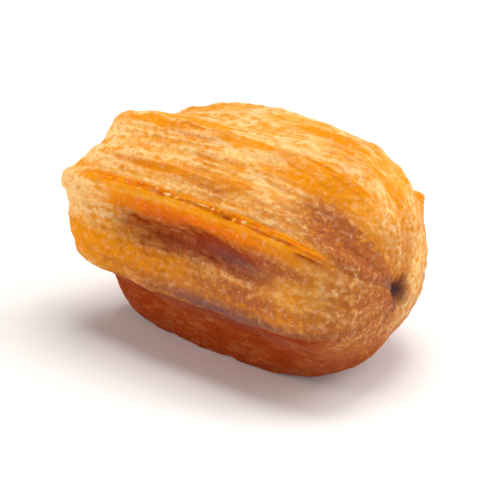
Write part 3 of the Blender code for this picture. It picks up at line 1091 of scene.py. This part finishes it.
        # Painted shade in the dimples and under the front lobe's overhang.
        middle, spread = self.undercut
        undercut = grid.inside(self.lowest_interval, bell((grid.lines.share - middle) / spread))
        painted_shade = self.dimple_shade * self.dimples(crust)
        return {
            CrustMask.TOAST_AND_SHADE: toast_and_shade,
            CrustMask.PALE: pale - self.pale_below * below,
            CrustMask.AMBER: self.amber_torn.at(ridges) * crust.strength * upper + self.amber_upper * upper,
            CrustMask.EMBER: np.zeros_like(toast_and_shade),
            CrustMask.DEEP_AND_SHADE: deep * grid.fade,
            CrustMask.PAINTED_SHADE: painted_shade + self.undercut_shade * undercut * self.undercut_end.at(grid.x),
        }

    def add_pinch(self, crust: CrustState, masks: dict[CrustMask, np.ndarray]) -> None:
        """Make the pinched end's hidden rim paler, and paint shade round its dimple: less pale, browner.

        Args:
            crust: The state of the crust.
            masks: The masks to change.
        """
        turn = np.arctan2(crust.points[..., 2], -crust.points[..., 1]) - math.radians(self.rim_turn)
        middle, spread = self.rim_place
        rim = self.rim_rise.at(np.cos(turn)) * bell((crust.grid.x - middle) / spread)
        pinch = bell(crust.from_axis / self.pinch_radius) * crust.pinched
        masks[CrustMask.PALE] += self.rim_pale * rim + self.pinch_pale * pinch
        masks[CrustMask.TOAST_AND_SHADE] += self.rim_toast * rim + self.pinch_shade * pinch

    def add_crack(self, crust: CrustState, masks: dict[CrustMask, np.ndarray]) -> None:
        """Colour the crack: an orange band with red-orange dots, and a golden line on its lip, which is a
        painted highlight.

        Band and line are bells exp(-|d|^power) across the crack, with a ragged edge.

        Args:
            crust: The state of the crust.
            masks: The masks to change.
        """
        offset = crust.offset + self.crack_sway * self.crack_wander.at(crust.points)
        place, width, power = self.band
        band = bell((offset - place) / width, power) * crust.opening
        # Painted highlight along the lip.
        place, width, power = self.painted_lip_highlight
        line = bell((offset - place) / width, power) * crust.opening
        line = line * (1.0 - self.painted_lip_highlight_end.at(crust.grid.x))
        dots = self.dot_rise.at(self.dots.at(crust.points)) * band
        for tone in self.crack_tones:
            masks[tone.mask] += tone.band * band + tone.dots * dots + tone.line * line

    def masks(self, crust: CrustState) -> dict[CrustMask, np.ndarray]:
        """Work out where each tone of the crust shows.

        Args:
            crust: The state of the crust.

        Returns:
            One mask per name, from 0 to a little over 1, so that textures can eat into it.
        """
        masks = self.base(crust)
        for patch in self.patches:
            masks[patch.mask] += patch.strength * crust.grid.spot(patch, patch.edge)
        self.add_pinch(crust, masks)
        self.add_crack(crust, masks)
        # Painted glints: the bead tops lose the other tones and turn pale.
        bead = self.glint_on_beads.at(crust.beads)
        for name in masks:
            masks[name] = masks[name] * (1.0 - bead)
        masks[CrustMask.PALE] += self.bead_glint_pale * bead
        return {name: np.clip(mask, 0.0, self.limit) for name, mask in masks.items()}


@dataclass(frozen=True)
class Texture:
    """A noise texture: cells per metre, octaves, strength of each further octave, draw-out.

    A stretch below 1 draws the texture out along the bar by that factor.
    """

    cells: float
    octaves: float
    falloff: float
    stretch: float = 1.0


@dataclass(frozen=True)
class Sprinkle:
    """What shows where a texture passes from the first value to the second: at most the amount."""

    start: float
    full: float
    amount: float = 1.0


@dataclass(frozen=True)
class Relief:
    """How much of a bump shows, and its height in metres."""

    strength: float
    height: float


@dataclass
class NodeBench:
    """Puts nodes into one material's tree."""

    tree: bpy.types.NodeTree

    def feed(self, value: Socket | Color | float, socket: Socket) -> None:
        """Link a value to a socket, or set it there if it is constant.

        Args:
            value: A socket, a colour or a number.
            socket: The input that takes it.
        """
        if isinstance(value, bpy.types.NodeSocket):
            self.tree.links.new(value, socket)
        elif isinstance(value, tuple):
            socket.default_value = (*value, 1.0)
        else:
            socket.default_value = value

    def noise(self, texture: Texture) -> Socket:
        """Place a noise texture on Object coordinates.

        Args:
            texture: Its sizes.

        Returns:
            The noise value.
        """
        place = self.tree.nodes.new("ShaderNodeTexCoord").outputs["Object"]
        if texture.stretch != 1.0:
            drawn = self.tree.nodes.new("ShaderNodeMapping")
            self.feed(place, drawn.inputs["Vector"])
            drawn.inputs["Scale"].default_value = (texture.stretch, 1.0, 1.0)
            place = drawn.outputs["Vector"]
        node = self.tree.nodes.new("ShaderNodeTexNoise")
        self.feed(place, node.inputs["Vector"])
        self.feed(texture.cells, node.inputs["Scale"])
        self.feed(texture.octaves, node.inputs["Detail"])
        self.feed(texture.falloff, node.inputs["Roughness"])
        return node.outputs["Fac"]

    def pebbles(self, cells: float, smoothness: float) -> Socket:
        """Place rounded cells on Object coordinates.

        Args:
            cells: Cells per metre.
            smoothness: How softly neighbours run together.

        Returns:
            Distance to the nearest cell's middle, smoothed.
        """
        place = self.tree.nodes.new("ShaderNodeTexCoord").outputs["Object"]
        node = self.tree.nodes.new("ShaderNodeTexVoronoi")
        node.feature = "SMOOTH_F1"
        self.feed(place, node.inputs["Vector"])
        self.feed(cells, node.inputs["Scale"])
        self.feed(smoothness, node.inputs["Smoothness"])
        return node.outputs["Distance"]

    def mask(self, name: CrustMask) -> Socket:
        """Read one of the piece's masks.

        Args:
            name: Which mask.

        Returns:
            Its value.
        """
        node = self.tree.nodes.new("ShaderNodeAttribute")
        node.attribute_name = name.value
        return node.outputs["Fac"]

    def calculate(self, operation: str, values: tuple[Socket | float, ...], clamped: bool = False) -> Socket:
        """Work out one sum or product.

        Args:
            operation: Blender's name of the operation.
            values: What goes in, in order.
            clamped: Whether the result is kept to 0..1.

        Returns:
            The result.
        """
        node = self.tree.nodes.new("ShaderNodeMath")
        node.operation = operation
        node.use_clamp = clamped
        for value, socket in zip(values, node.inputs):
            self.feed(value, socket)
        return node.outputs[0]

    def sprinkle(self, texture: Socket, sprinkle: Sprinkle) -> Socket:
        """Rise smoothly from 0 to the sprinkle's amount.

        Args:
            texture: Value that is read.
            sprinkle: Where the rise starts and is full, and its amount.

        Returns:
            The rise.
        """
        node = self.tree.nodes.new("ShaderNodeMapRange")
        node.interpolation_type = "SMOOTHSTEP"
        self.feed(texture, node.inputs["Value"])
        self.feed(sprinkle.start, node.inputs["From Min"])
        self.feed(sprinkle.full, node.inputs["From Max"])
        self.feed(sprinkle.amount, node.inputs["To Max"])
        return node.outputs["Result"]

    def ragged(self, name: CrustMask, texture: Socket, amount: float) -> Socket:
        """Fray one of the masks with a texture: mask + amount (texture - 0.5), kept to 0..1.

        Args:
            name: Mask to fray.
            texture: Value around 0.5.
            amount: How much the texture adds; below zero it takes away where it is bright.

        Returns:
            The frayed mask.
        """
        lowered = self.calculate("ADD", (self.mask(name), -0.5 * amount))
        return self.calculate("MULTIPLY_ADD", (texture, amount, lowered), clamped=True)

    def uneven(self, name: CrustMask, texture: Socket, amount: float) -> Socket:
        """Vary one of the masks in proportion to itself: mask (1 + amount (0.5 - texture)).

        Args:
            name: Mask to vary.
            texture: Value around 0.5.
            amount: How much more of the mask shows where the texture is dark.

        Returns:
            The varied mask, kept to 0..1.
        """
        factor = self.calculate("MULTIPLY_ADD", (texture, -amount, 1.0 + 0.5 * amount))
        return self.calculate("MULTIPLY", (self.mask(name), factor), clamped=True)

    def blend(self, under: Socket | Color, over: Color, cover: Socket) -> Socket:
        """Lay one colour over another.

        Args:
            under: Colour or socket below.
            over: Colour on top.
            cover: How much of the top colour shows.

        Returns:
            The blended colour.
        """
        node = self.tree.nodes.new("ShaderNodeMix")
        node.data_type = "RGBA"
        node.clamp_factor = True
        self.feed(cover, node.inputs[0])
        self.feed(under, node.inputs[6])
        self.feed(over, node.inputs[7])
        return node.outputs[2]

    def bump(self, height: Socket, relief: Relief, below: Socket | None = None) -> Socket:
        """Turn a height into a normal, on top of an earlier one if given.

        Args:
            height: Height from 0 to 1.
            relief: Strength and height of the bump.
            below: Normal that this one is added to.

        Returns:
            The bumped normal.
        """
        node = self.tree.nodes.new("ShaderNodeBump")
        self.feed(relief.strength, node.inputs["Strength"])
        self.feed(relief.height, node.inputs["Distance"])
        self.feed(height, node.inputs["Height"])
        if below is not None:
            self.feed(below, node.inputs["Normal"])
        return node.outputs["Normal"]


@dataclass(frozen=True)
class FriedCrust:
    """The finish of the crust.

    It is golden, with pale torn threads, orange where it is bare, red-orange in the crack, brown where it
    toasted, and deep red-brown underneath, which is browner crust and painted shade both. Dark painted shade
    lies in the dimples, hollows and overhung edges, with a painted highlight along the lip, painted glints,
    and amber painted shade in small pits.
    """

    gold: Color = (0.81, 0.33, 0.017)
    pale: Color = (0.91, 0.59, 0.24)
    amber: Color = (0.79, 0.27, 0.001)
    ember: Color = (0.85, 0.175, 0.002)
    # Brown: toasted crust, and painted shade where it follows height, valleys and overhangs.
    brown: Color = (0.38, 0.10, 0.027)
    # Deep red-brown: browner crust, and painted shade underneath and in the hollows.
    deep: Color = (0.27, 0.032, 0.001)
    # Colour of the painted shade.
    dark: Color = (0.14, 0.065, 0.065)
    # Colour of the painted glints: small pale flecks.
    glint_color: Color = (0.88, 0.61, 0.42)
    grain: Texture = Texture(2400.0, 3.0, 0.65)
    streak: Texture = Texture(820.0, 4.0, 0.60, 0.22)
    mottle: Texture = Texture(1150.0, 3.0, 0.60, 0.70)
    cloud: Texture = Texture(190.0, 3.0, 0.5)
    fleck: Texture = Texture(1100.0, 2.0, 0.5)
    blotch: Texture = Texture(760.0, 4.0, 0.60, 0.45)
    pebble_cells: float = 1250.0
    pebble_smoothness: float = 0.6
    amber_clouds: Sprinkle = Sprinkle(0.42, 0.66, 0.20)
    pale_grain: Sprinkle = Sprinkle(0.28, 0.50)
    # Painted shade: amber in the low spots of the mottle's bump.
    amber_pit_shade: Sprinkle = Sprinkle(0.46, 0.36, 0.40)
    # Painted glints, scattered small and pale.
    glint_specks: Sprinkle = Sprinkle(0.50, 0.76, 0.24)
    browned: Sprinkle = Sprinkle(0.20, 0.80)
    char: Sprinkle = Sprinkle(0.49, 0.37, 0.70)
    pale_uneven: float = -9.0
    amber_ragged: float = -2.2
    ember_ragged: float = -1.2
    toast_uneven: float = 3.2
    deep_uneven: float = 2.2
    rough_texture: tuple[float, float] = (0.3, 0.7)
    roughness: tuple[float, float] = (0.50, 0.75)
    grain_relief: Relief = Relief(0.50, 0.00016)
    streak_relief: Relief = Relief(0.60, 0.00040)
    mottle_relief: Relief = Relief(0.60, 0.00032)
    pebble_relief: Relief = Relief(0.55, 0.00030)
    specular: float = 0.05
    subsurface: float = 0.16
    scatter: Color = (1.0, 0.36, 0.12)
    scatter_scale: float = 0.0008

    def material(self) -> bpy.types.Material:
        """Build the crust's material from the piece's masks and Object coordinates.

        Returns:
            The finished material.
        """
        crust = bpy.data.materials.new("fried_crust")
        crust.use_nodes = True
        bench = NodeBench(crust.node_tree)
        shader = crust.node_tree.nodes["Principled BSDF"]
        grain = bench.noise(self.grain)
        streak = bench.noise(self.streak)
        mottle = bench.noise(self.mottle)
        bench.feed(self.base_color(bench, grain, streak, mottle), shader.inputs["Base Color"])
        bench.feed(self.rough(bench, mottle), shader.inputs["Roughness"])
        normal = bench.bump(grain, self.grain_relief)
        normal = bench.bump(streak, self.streak_relief, normal)
        normal = bench.bump(mottle, self.mottle_relief, normal)
        pebble = bench.pebbles(self.pebble_cells, self.pebble_smoothness)
        bench.feed(bench.bump(pebble, self.pebble_relief, normal), shader.inputs["Normal"])
        bench.feed(self.specular, shader.inputs["Specular IOR Level"])
        bench.feed(self.subsurface, shader.inputs["Subsurface Weight"])
        shader.inputs["Subsurface Radius"].default_value = self.scatter
        bench.feed(self.scatter_scale, shader.inputs["Subsurface Scale"])
        return crust

    def base_color(self, bench: NodeBench, grain: Socket, streak: Socket, mottle: Socket) -> Socket:
        """Lay the tones over each other, each with its mask frayed or varied by a texture.

        Args:
            bench: The material's nodes.
            grain: The finest texture.
            streak: The texture that is drawn out most.
            mottle: The texture between them.

        Returns:
            The colour of the crust.
        """
        blotch = bench.noise(self.blotch)
        clouds = bench.sprinkle(bench.noise(self.cloud), self.amber_clouds)
        color = bench.blend(self.gold, self.amber, clouds)
        dapple = bench.calculate("MULTIPLY", (bench.calculate("ADD", (mottle, streak)), 0.5))
        threads = bench.uneven(CrustMask.PALE, dapple, self.pale_uneven)
        threads = bench.calculate("MULTIPLY", (threads, bench.sprinkle(grain, self.pale_grain)))
        color = bench.blend(color, self.pale, threads)
        color = bench.blend(color, self.amber, bench.ragged(CrustMask.AMBER, streak, self.amber_ragged))
        color = bench.blend(color, self.ember, bench.ragged(CrustMask.EMBER, mottle, self.ember_ragged))
        color = bench.blend(color, self.brown, bench.uneven(CrustMask.TOAST_AND_SHADE, mottle, self.toast_uneven))
        # Painted shade: amber where the mottle's bump is low.
        color = bench.blend(color, self.amber, bench.sprinkle(mottle, self.amber_pit_shade))
        # Painted glints: small pale flecks.
        color = bench.blend(color, self.glint_color, bench.sprinkle(bench.noise(self.fleck), self.glint_specks))
        browned = bench.sprinkle(bench.mask(CrustMask.TOAST_AND_SHADE), self.browned)
        char = bench.calculate("MULTIPLY", (bench.sprinkle(blotch, self.char), browned))
        color = bench.blend(color, self.brown, char)
        # Deep red-brown: browner crust, and painted shade underneath and in the hollows.
        color = bench.blend(color, self.deep, bench.uneven(CrustMask.DEEP_AND_SHADE, blotch, self.deep_uneven))
        # Painted shade goes on last.
        return bench.blend(color, self.dark, bench.mask(CrustMask.PAINTED_SHADE))

    def rough(self, bench: NodeBench, mottle: Socket) -> Socket:
        """Let the roughness vary with the mottle.

        Args:
            bench: The material's nodes.
            mottle: The texture that is read.

        Returns:
            The roughness.
        """
        node = bench.tree.nodes.new("ShaderNodeMapRange")
        bench.feed(mottle, node.inputs["Value"])
        bench.feed(self.rough_texture[0], node.inputs["From Min"])
        bench.feed(self.rough_texture[1], node.inputs["From Max"])
        bench.feed(self.roughness[0], node.inputs["To Min"])
        bench.feed(self.roughness[1], node.inputs["To Max"])
        return node.outputs["Result"]


@dataclass
class Doughnut:
    """The whole doughnut: one closed skin of crust over the solid."""

    form: DoughForm = field(default_factory=DoughForm)
    relief: CrustRelief = field(default_factory=CrustRelief)
    tones: CrustTones = field(default_factory=CrustTones)
    finish: FriedCrust = field(default_factory=FriedCrust)
    axis_height: float = 15.4
    shift: tuple[float, float] = (1.867, 0.305)
    rest_softness: float = 0.004

    def build(self) -> bpy.types.Object:
        """Build the crust, dress it and let it stand for the solid.

        Returns:
            The finished piece.
        """
        grid = self.form.grid()
        points = grid.points + grid_normals(grid.points) * self.relief.broad(grid)[..., None]
        crust = self.relief.read(grid, points)
        points = points + grid_normals(points) * self.relief.fine(crust)[..., None]
        points[..., 0] += self.shift[0]
        points[..., 1] += self.shift[1]
        points[..., 2] = self.rested(points[..., 2] + self.axis_height)
        piece = self.skin(points, self.tones.masks(crust))
        piece.data.materials.append(self.finish.material())
        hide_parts("doughnut")
        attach(piece, "root")
        return piece

    def rested(self, height: np.ndarray) -> np.ndarray:
        """Press what would lie under the floor flat, with a soft edge.

        The height h becomes (h + sqrt(h^2 + q)) / 2 - sqrt(q) exp(-h^2) / 2, but no less than 0,
        with q the softness.

        Args:
            height: Height over the floor.

        Returns:
            The height of the doughnut at rest.
        """
        soft = 0.5 * (height + np.sqrt(height**2 + self.rest_softness))
        return np.maximum(soft - 0.5 * np.sqrt(self.rest_softness) * bell(height), 0.0)

    @staticmethod
    def skin(points: np.ndarray, masks: dict[CrustMask, np.ndarray]) -> bpy.types.Object:
        """Close the grid at both poles and put it into a mesh with its masks.

        Args:
            points: Grid of points in millimetres.
            masks: One value per grid point for each mask.

        Returns:
            The linked object.
        """
        rings = points[1:-1]
        count, columns = rings.shape[:2]
        poles = np.stack([points[0].mean(axis=0), points[-1].mean(axis=0)])
        verts = np.concatenate([rings.reshape(-1, 3), poles]) * MM
        row, column = np.meshgrid(np.arange(count - 1), np.arange(columns), indexing="ij")
        beside = (column + 1) % columns
        corners = (row * columns + column, (row + 1) * columns + column)
        corners += ((row + 1) * columns + beside, row * columns + beside)
        quads = np.stack(corners, axis=-1).reshape(-1, 4)
        ring = np.arange(columns)
        after = (ring + 1) % columns
        last = (count - 1) * columns
        blunt = np.stack([ring, after, np.full(columns, count * columns)], axis=-1)
        pinch = np.stack([last + after, last + ring, np.full(columns, count * columns + 1)], axis=-1)
        mesh = bpy.data.meshes.new("doughnut_crust")
        mesh.from_pydata(verts.tolist(), [], quads.tolist() + blunt.tolist() + pinch.tolist())
        mesh.update()
        mesh.shade_smooth()
        for name, mask in masks.items():
            layer = mesh.attributes.new(name.value, "FLOAT", "POINT")
            ends = np.array([mask[0].mean(), mask[-1].mean()])
            layer.data.foreach_set("value", np.concatenate([mask[1:-1].ravel(), ends]).astype(np.float32))
        piece = bpy.data.objects.new("doughnut_crust", mesh)
        bpy.context.scene.collection.objects.link(piece)
        return piece


@dataclass(frozen=True)
class PaleFloor:
    """The finish of the floor: plain, pale and dull."""

    color: Color = (0.95, 0.94, 0.93)
    roughness: float = 0.85
    specular: float = 0.15

    def material(self) -> bpy.types.Material:
        """Build the floor's material.

        Returns:
            The finished material.
        """
        paper = bpy.data.materials.new("pale_floor")
        paper.use_nodes = True
        shader = paper.node_tree.nodes["Principled BSDF"]
        shader.inputs["Base Color"].default_value = (*self.color, 1.0)
        shader.inputs["Roughness"].default_value = self.roughness
        shader.inputs["Specular IOR Level"].default_value = self.specular
        return paper


@dataclass
class StudioFloor:
    """A wide floor just under the doughnut. Lengths in metres."""

    half_side: float = 3.0
    cells: int = 24
    level: float = -0.00003
    finish: PaleFloor = PaleFloor()

    def build(self) -> bpy.types.Object:
        """Build the flat floor: x and y on an even grid, z at its level.

        Returns:
            The floor.
        """
        side = np.linspace(-self.half_side, self.half_side, self.cells + 1)
        x, y = np.meshgrid(side, side, indexing="ij")
        verts = np.stack([x, y, np.full_like(x, self.level)], axis=-1).reshape(-1, 3)
        row, column = np.meshgrid(np.arange(self.cells), np.arange(self.cells), indexing="ij")
        first = row * (self.cells + 1) + column
        quads = np.stack([first, first + self.cells + 1, first + self.cells + 2, first + 1], axis=-1)
        mesh = bpy.data.meshes.new("studio_floor")
        mesh.from_pydata(verts.tolist(), [], quads.reshape(-1, 4).tolist())
        floor = bpy.data.objects.new("studio_floor", mesh)
        bpy.context.scene.collection.objects.link(floor)
        mesh.materials.append(self.finish.material())
        return floor


@dataclass(frozen=True)
class SoftLamp:
    """A square soft lamp that looks at the doughnut. Lengths in metres."""

    role: LampRole
    azimuth: float
    elevation: float
    distance: float
    watts: float
    size: float = 0.50
    color: Color = (1.0, 0.985, 0.965)

    def build(self, target: np.ndarray) -> bpy.types.Object:
        """Hang the lamp on its sphere round the target and turn it there.

        Args:
            target: Point that the lamp looks at.

        Returns:
            The lamp.
        """
        data = bpy.data.lights.new(f"{self.role.value}_lamp", "AREA")
        data.shape = "SQUARE"
        data.size = self.size
        data.energy = self.watts
        data.color = self.color
        lamp = bpy.data.objects.new(f"{self.role.value}_lamp", data)
        bpy.context.scene.collection.objects.link(lamp)
        place_and_aim(lamp, target, self.azimuth, self.elevation, self.distance)
        return lamp


def place_and_aim(
    thing: bpy.types.Object, target: np.ndarray, azimuth: float, elevation: float, distance: float
) -> None:
    """Put a lamp or camera on a sphere round the target and turn its -Z axis to it.

    Args:
        thing: The lamp or camera.
        target: Middle of the sphere.
        azimuth: 0 is in front (-Y), 90 on the +X side.
        elevation: Degrees above the floor.
        distance: Radius of the sphere in metres.
    """
    turn = math.radians(azimuth)
    rise = math.radians(elevation)
    back = np.array([math.sin(turn) * math.cos(rise), -math.cos(turn) * math.cos(rise), math.sin(rise)])
    thing.location = tuple(target + back * distance)
    thing.rotation_euler = (math.pi / 2.0 - rise, 0.0, turn)


@dataclass
class Studio:
    """Lamps, surrounding light and the camera. Lengths in metres, lens and sensor in millimetres."""

    target: tuple[float, float, float] = (-0.0014, -0.0013, 0.0150)
    azimuth: float = 40.5
    elevation: float = 26.0
    distance: float = 0.70
    focal_length: float = 352.0
    sensor_width: float = 36.0
    clip: tuple[float, float] = (0.01, 20.0)
    sky: Color = (1.0, 0.985, 0.965)
    sky_strength: float = 0.17
    lamps: tuple[SoftLamp, ...] = (
        SoftLamp(LampRole.KEY, -170.0, 80.0, 0.75, 4.4),
        SoftLamp(LampRole.BACK, 140.0, 40.0, 0.80, 2.7),
        SoftLamp(LampRole.FRONT, 0.0, 14.0, 1.20, 3.9),
        SoftLamp(LampRole.LEFT, -60.0, 14.0, 1.20, 5.8),
        SoftLamp(LampRole.RIGHT, 112.0, 26.0, 0.80, 1.7),
    )

    def light(self) -> None:
        """Hang the lamps and fill the surroundings with even light."""
        middle = np.array(self.target)
        for lamp in self.lamps:
            lamp.build(middle)
        world = bpy.data.worlds.new("studio_air")
        world.use_nodes = True
        air = world.node_tree.nodes["Background"]
        air.inputs["Color"].default_value = (*self.sky, 1.0)
        air.inputs["Strength"].default_value = self.sky_strength
        bpy.context.scene.world = world

    def camera(self) -> bpy.types.Object:
        """Set the camera at the picture's viewing angle.

        Returns:
            The camera.
        """
        data = bpy.data.cameras.new("studio_camera")
        data.lens = self.focal_length
        data.sensor_width = self.sensor_width
        data.clip_start, data.clip_end = self.clip
        camera = bpy.data.objects.new("studio_camera", data)
        bpy.context.scene.collection.objects.link(camera)
        place_and_aim(camera, np.array(self.target), self.azimuth, self.elevation, self.distance)
        bpy.context.scene.camera = camera
        return camera


def main() -> None:
    """Load the solid, build its looks, floor, light and camera, and note the sizes."""
    logging.basicConfig(level=logging.INFO, format="%(name)s: %(message)s")
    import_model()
    bpy.context.scene.view_settings.view_transform = "Standard"
    piece = Doughnut().build()
    LOG.info("crust: %d points, %d faces", len(piece.data.vertices), len(piece.data.polygons))
    floor = StudioFloor().build()
    LOG.info("floor: %s", floor.name)
    studio = Studio()
    studio.light()
    camera = studio.camera()
    LOG.info("camera: %s at azimuth %.1f, elevation %.1f", camera.name, studio.azimuth, studio.elevation)


if __name__ == "__main__":
    main()
